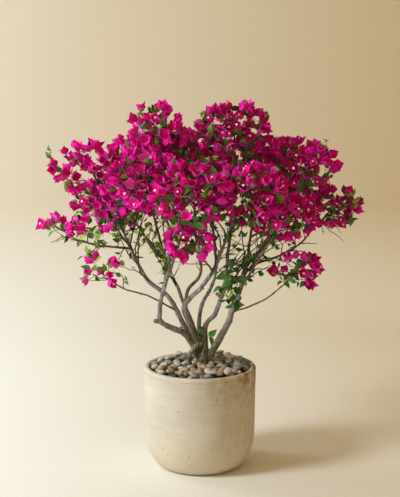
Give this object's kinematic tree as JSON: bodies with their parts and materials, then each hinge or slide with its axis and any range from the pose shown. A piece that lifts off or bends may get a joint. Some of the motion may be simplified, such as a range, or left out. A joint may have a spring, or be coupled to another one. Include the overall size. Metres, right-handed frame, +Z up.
{
  "type": "potted bougainvillea bush",
  "caption": "Many-stemmed flowering bougainvillea bush with a wide crown of magenta bracts, in a round stoneware pot dressed with river pebbles.",
  "frame": {"origin": "centre of the flat underside of the pot", "axes": "+Z up; +X to the right and +Y to the back as the plant is seen from its front"},
  "size_m": [0.9268, 0.614, 1.0731],
  "materials": {
    "stoneware": "matte",
    "soil": "matte",
    "pebbles": "satin",
    "bark": "matte",
    "blossom": "matte",
    "foliage": "matte"
  },
  "bodies": {
    "root": {"pot": "stoneware", "soil": "soil", "pebbles": "pebbles", "trunk": "bark", "stem_left_elbow": "bark", "stem_left_long": "bark", "stem_centre": "bark", "stem_back": "bark", "stem_upright": "bark", "stem_back_left": "bark", "stem_right": "bark", "bough_left_arm": "bark", "bough_left_spur": "bark", "bough_left_mid": "bark", "bough_left_low": "bark", "bough_centre_fork": "bark", "bough_inner_front": "bark", "bough_front_left": "bark", "bough_mid_left": "bark", "bough_right_arm": "bark", "bough_right_front": "bark", "bough_right_low": "bark", "bough_leaf_spray": "bark", "bough_back_right": "bark", "bough_back_left_low": "bark", "bough_back_right_low": "bark", "mass_top_left": "blossom", "mass_top_right": "blossom", "mass_upper_left": "blossom", "mass_left": "blossom", "mass_far_left": "blossom", "mass_left_spur": "blossom", "mass_low_left": "blossom", "mass_mid_left": "blossom", "mass_centre": "blossom", "mass_front": "blossom", "mass_front_right": "blossom", "mass_right": "blossom", "mass_far_right": "blossom", "mass_right_front": "blossom", "mass_low_right": "blossom", "mass_inner_front": "blossom", "mass_leaf_spray": "foliage", "mass_back": "blossom", "mass_back_left": "blossom", "mass_back_right": "blossom", "mass_back_left_low": "blossom", "mass_back_right_low": "blossom", "mass_sprout": "foliage"}
  },
  "joints": []
}
